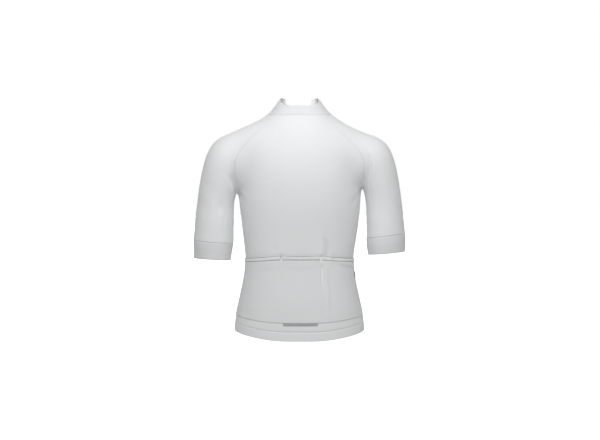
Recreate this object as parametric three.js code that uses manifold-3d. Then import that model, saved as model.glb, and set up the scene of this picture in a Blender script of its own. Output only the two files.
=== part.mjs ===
// A short-sleeved cycling jersey, filled out as it is worn, with no wearer in it.
// Millimetres. +Z is up, +Y is towards the wearer's front and +X towards the wearer's right.
// The origin is the centre of the neck opening, level with the seam where the collar meets the shoulders.
//
// One smooth form, a trunk and two upper arms, gives the outer side of the cloth. Each cut piece is a
// grid of points on that form, and becomes a wall with the thickness of the cloth.
import * as THREE from "three";
import { mergeVertices } from "three/addons/utils/BufferGeometryUtils.js";
import Module from "manifold-3d";

// ---------------------------------------------------------------- sizes
const CLOTH = 1.2; // thickness of the knitted panels
const BAND = 1.8; // thickness of the doubled bands: collar, cuffs and hem
const SEAM_GAP = 0.3; // pieces lie this far apart at a seam
const SLEEVE_TRIM = 0.5; // taken off a sleeve along the raglan seam, which bends sharply under the arm
const BLEND = 46; // how softly the arms run into the trunk above the armpits
const ARMPIT_BLEND = 7; // and beside the armpits
const ARMPIT_BLEND_TO = -228; // height up to which that holds
const BLEND_FROM = -150; // height from which the soft one holds
const ARM_BLEND = 14; // how softly one stretch of the arm runs into the next
const ARM_DEPTH = 1.08; // an arm is this much deeper, front to back, than it is wide
const SQUARENESS = 2.35; // exponent of the trunk's sections: 2 is an ellipse

// Sections of the trunk and neck: half the width, and how far the back and the front lie from the Z axis.
const TRUNK = [
  { z: -680, halfWidth: 182, back: 121, front: 108 },
  { z: -610, halfWidth: 182, back: 121, front: 109 },
  { z: -565, halfWidth: 178, back: 118, front: 108 },
  { z: -510, halfWidth: 166, back: 110, front: 105 },
  { z: -460, halfWidth: 155, back: 102, front: 102 },
  { z: -405, halfWidth: 150, back: 97, front: 101 },
  { z: -345, halfWidth: 156, back: 101, front: 104 },
  { z: -285, halfWidth: 163, back: 110, front: 110 },
  { z: -225, halfWidth: 168, back: 118, front: 115 },
  { z: -165, halfWidth: 165, back: 121, front: 113 },
  { z: -110, halfWidth: 152, back: 116, front: 101 },
  { z: -60, halfWidth: 118, back: 101, front: 83 },
  { z: -25, halfWidth: 88, back: 84, front: 68 },
  { z: 0, halfWidth: 74, back: 73, front: 62 },
  { z: 20, halfWidth: 63, back: 66, front: 60 },
  { z: 42, halfWidth: 49, back: 60, front: 58 },
  { z: 60, halfWidth: 42, back: 56, front: 56 },
];

// The middle line of an arm, from the side of the neck over the shoulder to the cuff, and its radius.
const ARM = [
  { x: 48, y: -6, z: -64, radius: 52 },
  { x: 108, y: -8, z: -94, radius: 58 },
  { x: 194, y: -7, z: -125, radius: 56 },
  { x: 206, y: -6, z: -150, radius: 55 },
  { x: 217, y: -4, z: -190, radius: 53 },
  { x: 230, y: -1, z: -240, radius: 48.5 },
  { x: 234.5, y: 2, z: -300, radius: 51.5 },
  { x: 237.5, y: 4, z: -353, radius: 53.5 },
  { x: 243, y: 6, z: -430, radius: 51 },
];

// The raglan seam: where it runs on the back and on the front, from under the arm up to the neck.
const RAGLAN = [
  { backX: 180, backY: 0, backZ: -226, frontX: 180, frontY: 0, frontZ: -226 },
  { backX: 181, backY: -30, backZ: -209, frontX: 180, frontY: 32, frontZ: -209 },
  { backX: 184, backY: -52, backZ: -170, frontX: 178, frontY: 56, frontZ: -170 },
  { backX: 181, backY: -66, backZ: -126, frontX: 166, frontY: 66, frontZ: -126 },
  { backX: 156, backY: -76, backZ: -92, frontX: 142, frontY: 64, frontZ: -94 },
  { backX: 116, backY: -74, backZ: -48, frontX: 108, frontY: 52, frontZ: -58 },
  { backX: 76, backY: -46, backZ: -4, frontX: 76, frontY: 28, frontZ: -14 },
];

// Seams and edges that run round the trunk: their height at the middle of the back, at the side and
// at the middle of the front, and how many rows of the panels lie between each and the next one up.
const LEVELS = [
  { back: -595, side: -578, front: -566, rows: 1 }, // hem seam
  { back: -569, side: -559, front: -546, rows: 8 }, // foot of the pockets
  { back: -385.5, side: -399, front: -390, rows: 8 }, // mouth of the pockets
  { back: -212, side: -226, front: -216, rows: 9 }, // armpit
];
const HEM_HEIGHT = 24;
const NECK_SEAM = { back: -6, front: -24 }; // heights of the neck seam at the middle of the back and front

// Columns of the back panel, in degrees from the middle of the back. The pockets meet at the two divisions.
const POCKET_DIVISIONS = [-28, 32];
const POCKET_COLUMNS = 6;
const FRONT_COLUMNS = 8;
const NECK_EDGE_COLUMNS = 3; // of each sleeve where it meets the collar
const SIDE = 90;

// The collar's upper edge: low at the nape, higher at the sides.
const COLLAR_TOP = { back: 17, side: 36, front: 38.5 };
const COLLAR_ROWS = 3;

// Sleeves. One hangs a little lower than the other.
const SLEEVES = [
  { name: "left", side: -1, cuffEdge: -409, cuffSlope: 0.062 },
  { name: "right", side: 1, cuffEdge: -392, cuffSlope: 0.09 },
];
const CUFF_HEIGHT = 48;
const CUFF_ROWS = 2;
const CUFF_TILT = 4.5; // a cuff's edge is this much higher at the back of the arm than at its sides
const RING_RADIUS = 53; // of the rings laid round the arm before they settle on it
const UPPER_ROWS = 8; // from the raglan seam to the ring below the armpit
const LOWER_ROWS = 5; // from that ring to the cuff
const ARM_RING = { inner: -262, outer: -188 }; // heights of that ring next to the trunk and outside
const SHOULDER_RISE = 56; // how far the shoulder stands out from a straight line between neck and ring
const SHOULDER_WAY = new THREE.Vector3(0.72, 0, 0.69); // the direction in which it stands out

// Where the garment isn't quite even from side to side: the points round a place, within its reach,
// lie further along X or Z. The right armpit is higher, the right sleeve hangs further out, and the
// left shoulder is fuller.
const UNEVEN = [
  { x: 181, z: -222, reachX: 50, reachZ: 75, moveX: 0, moveZ: 13 },
  { x: 178, z: -310, reachX: 62, reachZ: 125, moveX: 4, moveZ: 0 },
  { x: -158, z: -58, reachX: 70, reachZ: 62, moveX: 0, moveZ: 6 },
];

// Pockets. The rows are those of the back panel.
const POCKET_BELLY = 14; // how far a pocket's mouth stands off the back at its middle
const POCKET_SAG = 0.06; // how far the middle of a mouth sags, in rows
const POCKET_ELASTIC = 0.5; // height of the elastic at the mouth, in rows
const ELASTIC = { low: -1.4, high: 0.4 }; // offsets of its two sides from the outside of the pocket
const OVERLAY_GAP = 0.5; // between the back panel and what lies on it

// Trims on the back. Rows and columns are those of the back panel, or of the right pocket for the tab.
const STRIP = { rows: [0.72, 0.97], columns: [6.75, 11.1], thickness: 0.8 };
const SIDE_TAB = { rows: [5.2, 5.95], columns: [5.1, 5.38], thickness: 1 };

// Zip.
const PANEL_FROM_ZIP = 5.5; // from the zip's middle to the edge of the front panel
const COIL_WIDTH = 2.2; // of one side
const TAPE = { low: -3.1, high: -2.2, underPanel: 9 }; // offsets of its two sides from the form
const COIL = { low: -1.9, high: 0.2 };
const ZIP_CLOSED_ROWS = 5; // rows above the armpit level up to which the zip is closed
const ZIP_OPENING = 22; // half the distance between the two sides at the collar's upper edge
const BOX = { from: 0.4, height: 9, halfWidth: 4.2, low: -1.9, high: 0.9 }; // the stop at the foot of the zip
// The slider's plates are flat. Distances are along the zip from where it opens.
const SLIDER = { from: 1, to: 13, halfWidthLow: 3.6, halfWidthHigh: 4.8, plate: 1.2 };
const SLIDER_FRONT = 0.6; // offset of the inner face of the front plate
const SLIDER_BACK = -3.5; // offset of the inner face of the back plate
const SLIDER_POST = { from: 7, to: 12.5, halfWidth: 0.75 };
const SLIDER_SHOULDER = { length: 3, width: 1.4 }; // what its upper corners lose
const AXLE = { along: 8, height: 2.4, radius: 0.75, halfWidth: 3 }; // its height is above the front plate
const LUG = { inner: 2, outer: 3.1, halfLength: 1.2, over: 1.1 };
const PULL = { hole: 1.05, ring: 1.95, neck: 1.65, halfWidth: 3.2, length: 27, thickness: 1.4, corner: 2 };
const PULL_NECK = 2.6; // from its ring to where it has its whole width
const OVERLAP = 0.4; // how far pieces of one solid run into each other

// ---------------------------------------------------------------- the form
const degrees = (a) => (a * Math.PI) / 180;
const mix = (a, b, t) => a + (b - a) * t;
const smooth = (t) => t * t * (3 - 2 * t);
const clamp = (v, low, high) => Math.min(high, Math.max(low, v));

// A smooth curve through one column of a table whose rows are in order of another column.
function curve(table, along, column) {
  const at = (i) => table[clamp(i, 0, table.length - 1)];
  const slope = (i) => {
    const [a, b] = [at(i - 1), at(i + 1)];
    return (b[column] - a[column]) / (b[along] - a[along]);
  };
  return (v) => {
    const last = table.length - 2;
    const found = table.findIndex((row, i) => i <= last && v <= table[i + 1][along]);
    const i = found < 0 ? last : found;
    const [a, b] = [table[i], table[i + 1]];
    const span = b[along] - a[along];
    const t = clamp((v - a[along]) / span, 0, 1);
    const bend = t * (1 - t) * span;
    return (
      mix(a[column], b[column], smooth(t)) +
      bend * ((1 - t) * slope(i) - t * slope(i + 1))
    );
  };
}

const halfWidth = curve(TRUNK, "z", "halfWidth");
const backDepth = curve(TRUNK, "z", "back");
const frontDepth = curve(TRUNK, "z", "front");

// Distances to the form's two parts, negative inside. They are exact enough near the surface.
function trunkDistance(p) {
  const depth = p.y < 0 ? backDepth(p.z) : frontDepth(p.z);
  const share = Math.hypot(
    Math.pow(Math.abs(p.x) / halfWidth(p.z), SQUARENESS / 2),
    Math.pow(Math.abs(p.y) / depth, SQUARENESS / 2),
  );
  const radius = Math.hypot(p.x, p.y);
  return radius - radius / Math.max(Math.pow(share, 2 / SQUARENESS), 1e-6);
}

function softMin(a, b, size) {
  const near = Math.max(size - Math.abs(a - b), 0) / size;
  return Math.min(a, b) - (near * near * size) / 4;
}

function armDistance(p) {
  const q = new THREE.Vector3(Math.abs(p.x), p.y / ARM_DEPTH, p.z);
  let distance = Infinity;
  for (let i = 0; i + 1 < ARM.length; i += 1) {
    const [a, b] = [ARM[i], ARM[i + 1]];
    const along = new THREE.Vector3(b.x - a.x, b.y - a.y, b.z - a.z);
    const from = q.clone().sub(new THREE.Vector3(a.x, a.y, a.z));
    const t = clamp(from.dot(along) / along.lengthSq(), 0, 1);
    const here = from.addScaledVector(along, -t).length() - mix(a.radius, b.radius, t);
    distance = i === 0 ? here : softMin(distance, here, ARM_BLEND);
  }
  return distance;
}

function formDistance(p) {
  const above = clamp((p.z - ARMPIT_BLEND_TO) / (BLEND_FROM - ARMPIT_BLEND_TO), 0, 1);
  return softMin(trunkDistance(p), armDistance(p), mix(ARMPIT_BLEND, BLEND, smooth(above)));
}

function gradient(p) {
  const step = 0.5;
  const g = new THREE.Vector3();
  for (const axis of ["x", "y", "z"]) {
    const [ahead, behind] = [p.clone(), p.clone()];
    ahead[axis] += step;
    behind[axis] -= step;
    g[axis] = (formDistance(ahead) - formDistance(behind)) / (2 * step);
  }
  return g;
}

const outward = (p) => gradient(p).normalize();

// The point of the form nearest to a guess.
function settle(guess) {
  const p = guess.clone();
  for (let i = 0; i < 30; i += 1) {
    const g = gradient(p);
    const move = clamp(formDistance(p) / g.length(), -8, 8);
    if (Math.abs(move) < 1e-4) break;
    p.addScaledVector(g.normalize(), -move);
  }
  return p;
}

// The form's point in a direction round the Z axis, in degrees from the middle of the back, at a height.
function onTrunk(angle, z) {
  const [x, y] = [Math.sin(degrees(angle)), -Math.cos(degrees(angle))];
  const at = (r) => new THREE.Vector3(x * r, y * r, z);
  let outside = 30;
  while (formDistance(at(outside)) < 0 && outside < 400) outside += 2;
  let inside = outside - 2;
  for (let i = 0; i < 30; i += 1) {
    const middle = (inside + outside) / 2;
    if (formDistance(at(middle)) < 0) inside = middle;
    else outside = middle;
  }
  return at(outside);
}

const angleOf = (p) => (Math.atan2(p.x, -p.y) * 180) / Math.PI;

// Moves a point as the UNEVEN table says.
function uneven(p) {
  const near = (distance, reach) => smooth(clamp(1 - Math.abs(distance) / reach, 0, 1));
  const moved = p.clone();
  for (const place of UNEVEN) {
    const share = near(p.x - place.x, place.reachX) * near(p.z - place.z, place.reachZ);
    moved.x += place.moveX * share;
    moved.z += place.moveZ * share;
  }
  return moved;
}

// ---------------------------------------------------------------- grids and walls
const mirrored = (p) => new THREE.Vector3(-p.x, p.y, p.z);
const between = (a, b, t) => a.clone().lerp(b, t);

// Moves the points at the open edges of a grid inwards by half a seam gap, or more at the first row.
function trimmed(grid, wraps, first = SEAM_GAP / 2) {
  const rows = grid.length - 1;
  const columns = grid[0].length - 1;
  const step = (from, to, size = SEAM_GAP / 2) => to.clone().sub(from).setLength(size);
  return grid.map((row, i) =>
    row.map((p, j) => {
      const q = p.clone();
      if (i === 0) q.add(step(p, grid[1][j], first));
      if (i === rows) q.add(step(p, grid[rows - 1][j]));
      if (!wraps && j === 0) q.add(step(p, row[1]));
      if (!wraps && j === columns) q.add(step(p, row[columns - 1]));
      return q;
    }),
  );
}

// A closed wall over a grid of points: its two sides lie at the offsets low and high along the normals.
// A grid that wraps joins its last column to its first. Offsets may be numbers or functions of (row, column).
function wall(grid, normals, low, high, wraps = false) {
  const rows = grid.length;
  const columns = grid[0].length;
  const offset = (value, i, j) => (typeof value === "function" ? value(i, j) : value);
  const positions = [];
  for (const value of [high, low])
    for (let i = 0; i < rows; i += 1)
      for (let j = 0; j < columns; j += 1) {
        const p = grid[i][j].clone().addScaledVector(normals[i][j], offset(value, i, j));
        positions.push(p.x, p.y, p.z);
      }
  const index = [];
  const quad = (a, b, c, d) => index.push(a, b, c, a, c, d);
  const outer = (i, j) => i * columns + (j % columns);
  const inner = (i, j) => rows * columns + outer(i, j);
  const lastColumn = wraps ? columns : columns - 1;
  for (let i = 0; i + 1 < rows; i += 1)
    for (let j = 0; j < lastColumn; j += 1) {
      quad(outer(i, j), outer(i, j + 1), outer(i + 1, j + 1), outer(i + 1, j));
      quad(inner(i, j), inner(i + 1, j), inner(i + 1, j + 1), inner(i, j + 1));
    }
  for (let j = 0; j < lastColumn; j += 1) {
    quad(outer(0, j), inner(0, j), inner(0, j + 1), outer(0, j + 1));
    quad(outer(rows - 1, j), outer(rows - 1, j + 1), inner(rows - 1, j + 1), inner(rows - 1, j));
  }
  if (!wraps)
    for (let i = 0; i + 1 < rows; i += 1) {
      quad(outer(i, 0), outer(i + 1, 0), inner(i + 1, 0), inner(i, 0));
      const last = columns - 1;
      quad(outer(i, last), inner(i, last), inner(i + 1, last), outer(i + 1, last));
    }
  return facingOut(positions, index);
}

// A geometry from points and triangles, turned round if its faces point inwards.
function facingOut(positions, index) {
  const corner = (k) => new THREE.Vector3().fromArray(positions, 3 * index[k]);
  let volume = 0;
  for (let k = 0; k < index.length; k += 3)
    volume += corner(k).dot(corner(k + 1).cross(corner(k + 2)));
  if (volume < 0)
    for (let k = 0; k < index.length; k += 3) [index[k], index[k + 1]] = [index[k + 1], index[k]];
  const geometry = new THREE.BufferGeometry();
  geometry.setAttribute("position", new THREE.Float32BufferAttribute(positions, 3));
  geometry.setIndex(index);
  geometry.computeVertexNormals();
  return geometry;
}

// The point and normal of a grid at a row and column that need not be whole numbers.
function sample({ points, normals }, i, j) {
  const i0 = Math.min(Math.floor(i), points.length - 2);
  const j0 = Math.min(Math.floor(j), points[0].length - 2);
  const bilinear = (grid) =>
    between(
      between(grid[i0][j0], grid[i0][j0 + 1], j - j0),
      between(grid[i0 + 1][j0], grid[i0 + 1][j0 + 1], j - j0),
      i - i0,
    );
  return { point: bilinear(points), normal: bilinear(normals).normalize() };
}

// Every whole number between two values, with the values themselves at the ends.
function stops(from, to) {
  const list = [from];
  for (let k = Math.floor(from) + 1; k < to - 1e-6; k += 1) list.push(k);
  list.push(to);
  return list;
}

// Part of a panel's grid, between two rows and two columns, as its own grid.
function patch(panel, [i0, i1], [j0, j1]) {
  const cells = stops(i0, i1).map((i) => stops(j0, j1).map((j) => sample(panel, i, j)));
  return {
    points: cells.map((row) => row.map((c) => c.point)),
    normals: cells.map((row) => row.map((c) => c.normal)),
  };
}

const withNormals = (points) => ({ points, normals: points.map((row) => row.map(outward)) });

// ---------------------------------------------------------------- seams
// A smooth line on the form through guesses, with a number of equal steps.
function seamLine(guesses, steps) {
  const line = new THREE.CatmullRomCurve3(guesses, false, "centripetal");
  return line.getSpacedPoints(steps).map(settle);
}

const RAGLAN_ROWS = LEVELS.at(-1).rows;
const raglan = (face) =>
  seamLine(
    RAGLAN.map((r) => new THREE.Vector3(r[face + "X"], r[face + "Y"], r[face + "Z"])),
    RAGLAN_ROWS,
  );
const raglanBack = raglan("back");
const raglanFront = raglan("front");

// Height of a level at an angle from the middle of the back: level over the back's middle and the
// front's middle, and sloping towards the side seam.
function levelHeight(level, angle) {
  const away = Math.abs(angle) / SIDE;
  return away <= 1
    ? mix(level.back, level.side, smooth(clamp((away - 0.25) / 0.75, 0, 1)))
    : mix(level.side, level.front, smooth(clamp(away - 1, 0, 1)));
}

// Half the distance between the two sides of the zip at a height.
const ARMPIT = LEVELS.at(-1);
const ZIP_OPEN_FROM = mix(ARMPIT.front, NECK_SEAM.front, ZIP_CLOSED_ROWS / ARMPIT.rows);
const zipOpening = (z) =>
  ZIP_OPENING * clamp((z - ZIP_OPEN_FROM) / (COLLAR_TOP.front - ZIP_OPEN_FROM), 0, 1);

// The form's front point at an x and a height.
function onFront(x, z) {
  const at = (y) => new THREE.Vector3(x, y, z);
  let [inside, outside] = [0, 200];
  for (let i = 0; i < 40; i += 1) {
    const middle = (inside + outside) / 2;
    if (formDistance(at(middle)) < 0) inside = middle;
    else outside = middle;
  }
  return at(outside);
}

// The angle at which a front panel ends beside the zip, at a height.
const zipAngle = (z) => angleOf(onFront(PANEL_FROM_ZIP + zipOpening(z), z));

// Rows of a panel of the trunk, from the hem seam to the neck, from its middle to the side or raglan.
// `middle` gives the angle of the panel's inner edge, and `stations` the shares of the way to its outer edge.
function trunkRows(stations, middleAngle, raglanLine, neckHeight, face) {
  const rows = [];
  const row = (startHeight, startAngle, end, heightAt) =>
    stations.map((s) => {
      const angle = mix(startAngle, end.angle, s);
      return onTrunk(angle, heightAt ? heightAt(angle) : mix(startHeight, end.z, s));
    });
  LEVELS.slice(0, -1).forEach((level, n) => {
    for (let i = 0; i < level.rows; i += 1) {
      const t = i / level.rows;
      const height = (angle) =>
        mix(levelHeight(level, angle), levelHeight(LEVELS[n + 1], angle), t);
      const start = middleAngle(height(face === "back" ? 0 : 180));
      rows.push(row(0, start, { angle: SIDE }, height));
    }
  });
  for (let i = 0; i <= ARMPIT.rows; i += 1) {
    const end = raglanLine[i];
    const startHeight = mix(ARMPIT[face], neckHeight, i / ARMPIT.rows);
    const points = row(startHeight, middleAngle(startHeight), { angle: angleOf(end), z: end.z });
    points[points.length - 1] = end.clone();
    rows.push(points);
  }
  return rows;
}

// ---------------------------------------------------------------- the cut pieces
// Back panel: columns from the left side seam to the right one, even between the pocket divisions.
const [divisionLeft, divisionRight] = POCKET_DIVISIONS;
const steps = (from, to, count) => Array.from({ length: count }, (_, k) => mix(from, to, k / count));
const backStations = [
  ...steps(-SIDE, divisionLeft, POCKET_COLUMNS),
  ...steps(divisionLeft, divisionRight, POCKET_COLUMNS),
  ...steps(divisionRight, SIDE, POCKET_COLUMNS),
  SIDE,
].map((angle) => angle / SIDE);

const backHalf = (stations) =>
  trunkRows(stations, () => 0, raglanBack, NECK_SEAM.back, "back");
const rightStations = backStations.filter((s) => s >= 0);
const leftStations = backStations.filter((s) => s < 0).map((s) => -s).reverse();
const rightHalf = backHalf(rightStations);
const leftHalf = backHalf(leftStations.concat([1]).filter((s, k, all) => all.indexOf(s) === k));
const back = withNormals(
  rightHalf.map((row, i) => [...leftHalf[i].map(mirrored).reverse(), ...row]),
);

// Right front panel, from the side seam to the zip. The left one mirrors it.
const frontStations = [...steps(0, 1, FRONT_COLUMNS), 1];
const front = withNormals(
  trunkRows(frontStations, zipAngle, raglanFront, NECK_SEAM.front, "front").map((row) => [...row].reverse()),
);

// The edge of the right sleeve at the collar, from the back raglan seam to the front one.
const neckEdge = [];
for (let k = 0; k <= NECK_EDGE_COLUMNS; k += 1) {
  const t = k / NECK_EDGE_COLUMNS;
  const [a, b] = [raglanBack.at(-1), raglanFront.at(-1)];
  neckEdge.push(onTrunk(mix(angleOf(a), angleOf(b), t), mix(a.z, b.z, t)));
}

// The line where the right sleeve starts: under the arm, up the back, along the collar and down the front.
const sleeveStart = [
  ...raglanBack.slice(0, -1),
  ...neckEdge.slice(0, -1),
  ...[...raglanFront].reverse().slice(0, -1),
];

// A ring round the arm, from its inner side by the back. Its height changes evenly from the inner side
// to the outer one, and the back of it may be higher than the front.
const downArm = [...ARM].reverse();
const armX = curve(downArm, "z", "x");
const armY = curve(downArm, "z", "y");
function armRing(innerHeight, outerHeight, backRise = 0) {
  const middle = (innerHeight + outerHeight) / 2;
  return sleeveStart.map((_, j) => {
    const turn = (2 * Math.PI * j) / sleeveStart.length;
    const [inwards, backwards] = [Math.cos(turn), Math.sin(turn)];
    return settle(
      new THREE.Vector3(
        armX(middle) - RING_RADIUS * inwards,
        armY(middle) - RING_RADIUS * backwards,
        middle + ((innerHeight - outerHeight) / 2) * inwards + backRise * backwards,
      ),
    );
  });
}

function cuffRing(height, slope) {
  const reach = RING_RADIUS * slope;
  return armRing(height - reach, height + reach, CUFF_TILT);
}

function sleevePoints(cuffSeam, slope) {
  const ring = armRing(ARM_RING.inner, ARM_RING.outer);
  const end = cuffRing(cuffSeam, slope);
  const rows = [sleeveStart.map((p) => p.clone())];
  for (let k = 1; k < UPPER_ROWS; k += 1) {
    const t = k / UPPER_ROWS;
    rows.push(
      sleeveStart.map((p, j) => {
        const top = Math.sin((Math.PI * j) / sleeveStart.length) ** 2;
        const rise = SHOULDER_RISE * top * 4 * t * (1 - t);
        return settle(between(p, ring[j], t).addScaledVector(SHOULDER_WAY, rise));
      }),
    );
  }
  for (let k = 0; k <= LOWER_ROWS; k += 1)
    rows.push(ring.map((p, j) => settle(between(p, end[j], k / LOWER_ROWS))));
  return rows;
}

function cuffPoints(edge, slope) {
  const rows = [];
  for (let k = 0; k <= CUFF_ROWS; k += 1)
    rows.push(cuffRing(mix(edge + CUFF_HEIGHT, edge, k / CUFF_ROWS), slope));
  return rows;
}

// The neck seam, from the right front edge round the back to the left front edge, and its mirror's order.
const neckSeam = [
  ...[...front.points.at(-1)].reverse().slice(0, -1),
  ...[...neckEdge].reverse().slice(0, -1),
  ...[...back.points.at(-1)].reverse().slice(0, -1),
  ...neckEdge.map(mirrored).slice(0, -1),
  ...front.points.at(-1).map(mirrored),
];

function collarPoints() {
  return Array.from({ length: COLLAR_ROWS + 1 }, (_, i) =>
    neckSeam.map((p) => {
      const angle = Math.abs(angleOf(p));
      const z = mix(p.z, levelHeight(COLLAR_TOP, angle), i / COLLAR_ROWS);
      const share = (angle - SIDE) / (zipAngle(p.z) - SIDE);
      const turned = share > 0 ? mix(SIDE, zipAngle(z), share) : angle;
      return i === 0 ? p.clone() : onTrunk(Math.sign(angleOf(p)) * turned, z);
    }),
  );
}

// Two rows below the hem seam, round from the right front edge by the back to the left front edge.
function hemPoints() {
  const seam = [
    ...[...front.points[0]].reverse().slice(0, -1),
    ...[...back.points[0]].reverse().slice(0, -1),
    ...front.points[0].map(mirrored),
  ];
  return [HEM_HEIGHT, HEM_HEIGHT / 2, 0].map((drop) => seam.map((p) => onTrunk(angleOf(p), p.z - drop)));
}

const hem = withNormals(hemPoints());
const collar = withNormals(collarPoints());

// A pocket: part of the back panel moved out, most at the middle of its mouth.
const POCKET_ROWS = { low: LEVELS[0].rows, high: LEVELS[0].rows + LEVELS[1].rows };
function pocketSkin(firstColumn) {
  const rows = POCKET_ROWS.high - POCKET_ROWS.low;
  const cells = stops(0, rows).map((i) =>
    stops(0, POCKET_COLUMNS).map((j) => {
      const [up, across] = [i / rows, j / POCKET_COLUMNS];
      const bulge = 4 * across * (1 - across) * up;
      const { point, normal } = sample(back, POCKET_ROWS.low + i - POCKET_SAG * bulge, firstColumn + j);
      return { normal, point: point.addScaledVector(normal, OVERLAY_GAP + CLOTH + POCKET_BELLY * bulge) };
    }),
  );
  return {
    points: cells.map((row) => row.map((c) => c.point)),
    normals: cells.map((row) => row.map((c) => c.normal)),
  };
}
const POCKETS = ["left", "centre", "right"].map((name, n) => ({
  name,
  skin: pocketSkin(n * POCKET_COLUMNS),
}));

// ---------------------------------------------------------------- the zip
// The rows of the right side of the zip: of the hem band, the front panel and the collar.
const zipRow = (points, normals) => ({ edge: points[0], next: points[1], normals });
const zipRows = [
  ...hem.points.slice(0, -1).map((row, i) => zipRow(row, hem.normals[i])),
  ...front.points.map((row, i) => zipRow([...row].reverse(), [...front.normals[i]].reverse())),
  ...collar.points.slice(1).map((row, i) => zipRow(row, collar.normals[i + 1])),
];

// The right tape: from the zip's middle, past the panel's edge, to its own edge under the panel.
const tapeCells = zipRows.map(({ edge, next, normals }) => {
  const middle = onFront(zipOpening(edge.z) + SEAM_GAP / 2, edge.z);
  const t = Math.min(TAPE.underPanel / edge.distanceTo(next), 0.9);
  return [
    { point: middle, normal: outward(middle) },
    { point: edge, normal: normals[0] },
    { point: between(edge, next, t), normal: between(normals[0], normals[1], t).normalize() },
  ];
});
const tape = {
  points: tapeCells.map((row) => row.map((c) => c.point)),
  normals: tapeCells.map((row) => row.map((c) => c.normal)),
};

// The right coil, from the top of the box at its foot.
const coilFoot = tape.points[0][0].z + BOX.height + SEAM_GAP;
const coilHeights = [coilFoot, ...tape.points.slice(2).map((row) => row[0].z)];
const coil = withNormals(
  coilHeights.map((z) =>
    [SEAM_GAP / 2, SEAM_GAP / 2 + COIL_WIDTH].map((x) => onFront(zipOpening(z) + x, z)),
  ),
);

const flipGrid = ({ points, normals }) => ({
  points: points.map((row) => row.map(mirrored)),
  normals: normals.map((row) => row.map(mirrored)),
});

// ---------------------------------------------------------------- hard pieces
const wasm = await Module();
wasm.setup();
const { Manifold, Mesh: SolidMesh } = wasm;

// A solid from a profile of [across, along] points, given a thickness from low to high.
function plate(profile, low, high) {
  const shape = new THREE.Shape(profile.map(([x, y]) => new THREE.Vector2(x, y)));
  const geometry = new THREE.ExtrudeGeometry(shape, { depth: high - low, bevelEnabled: false });
  return solidOf(geometry.translate(0, 0, low));
}

// A cylinder along X.
function rod(radius, halfWidth, along, height) {
  const geometry = new THREE.CylinderGeometry(radius, radius, 2 * halfWidth, 20);
  return solidOf(geometry.rotateZ(Math.PI / 2).translate(0, along, height));
}

function solidOf(geometry) {
  const bare = new THREE.BufferGeometry();
  bare.setAttribute("position", geometry.getAttribute("position"));
  bare.setIndex(geometry.index);
  const merged = mergeVertices(bare, 1e-4);
  return new Manifold(
    new SolidMesh({
      numProp: 3,
      vertProperties: new Float32Array(merged.getAttribute("position").array),
      triVerts: new Uint32Array(merged.index.array),
    }),
  );
}

function geometryOf(solid) {
  const { vertProperties, triVerts } = solid.getMesh();
  return facingOut(Array.from(vertProperties), Array.from(triVerts));
}

const rectangle = (x0, x1, y0, y1) => [[x0, y0], [x1, y0], [x1, y1], [x0, y1]];

// The slider's own frame: x across, y up along the zip from where it opens, z outwards.
function zipFrame(z, zAbove) {
  const [foot, above] = [onFront(0, z), onFront(0, zAbove)];
  const across = new THREE.Vector3(-1, 0, 0);
  const up = above.sub(foot).normalize();
  const out = across.clone().cross(up);
  return new THREE.Matrix4().makeBasis(across, up, out).setPosition(foot);
}

function sliderSolid() {
  const shoulder = SLIDER.to - SLIDER_SHOULDER.length;
  const top = SLIDER.halfWidthHigh - SLIDER_SHOULDER.width;
  const outline = [
    [-SLIDER.halfWidthLow, SLIDER.from],
    [SLIDER.halfWidthLow, SLIDER.from],
    [SLIDER.halfWidthHigh, shoulder],
    [top, SLIDER.to],
    [-top, SLIDER.to],
    [-SLIDER.halfWidthHigh, shoulder],
  ];
  const face = SLIDER_FRONT + SLIDER.plate;
  const { from, to, halfWidth } = SLIDER_POST;
  const post = rectangle(-halfWidth, halfWidth, from, to);
  const lug = (side) => {
    const [a, b] = [side * LUG.inner, side * LUG.outer].sort((p, q) => p - q);
    const profile = rectangle(a, b, AXLE.along - LUG.halfLength, AXLE.along + LUG.halfLength);
    return plate(profile, face - OVERLAP, face + AXLE.height + LUG.over);
  };
  return [
    plate(outline, SLIDER_BACK - SLIDER.plate, SLIDER_BACK),
    plate(post, SLIDER_BACK - OVERLAP, SLIDER_FRONT + OVERLAP),
    lug(-1),
    lug(1),
    rod(AXLE.radius, AXLE.halfWidth, AXLE.along, face + AXLE.height),
  ].reduce((sum, piece) => sum.add(piece), plate(outline, SLIDER_FRONT, face));
}

// The pull tab hangs down the zip from its ring on the slider's axle.
function pullSolid() {
  const { ring, hole, neck, halfWidth, length, thickness, corner } = PULL;
  const height = SLIDER_FRONT + SLIDER.plate + AXLE.height;
  const half = [
    [neck, hole + OVERLAP],
    [neck, ring + OVERLAP],
    [halfWidth, ring + PULL_NECK],
    [halfWidth, length - corner],
    [halfWidth - corner, length],
  ];
  const tab = [...half, ...half.map(([x, distance]) => [-x, distance]).reverse()].map(
    ([x, distance]) => [x, AXLE.along - distance],
  );
  return rod(ring, neck, AXLE.along, height)
    .add(plate(tab, height - thickness / 2, height + thickness / 2))
    .subtract(rod(hole, neck + 1, AXLE.along, height));
}

const group = new THREE.Group();
const material = (color, roughness, metalness = 0) =>
  new THREE.MeshStandardMaterial({ color, roughness, metalness });
const MATERIALS = {
  knit: material(0xe6e8ea, 0.85),
  band: material(0xdfe1e3, 0.8),
  reflective: material(0x9a9c9e, 0.4),
  tape: material(0xe2e3e5, 0.9),
  coil: material(0xd4d6d8, 0.45),
  metal: material(0xb9bbbe, 0.35, 0.9),
  label: material(0x8b8884, 0.8),
};

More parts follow.
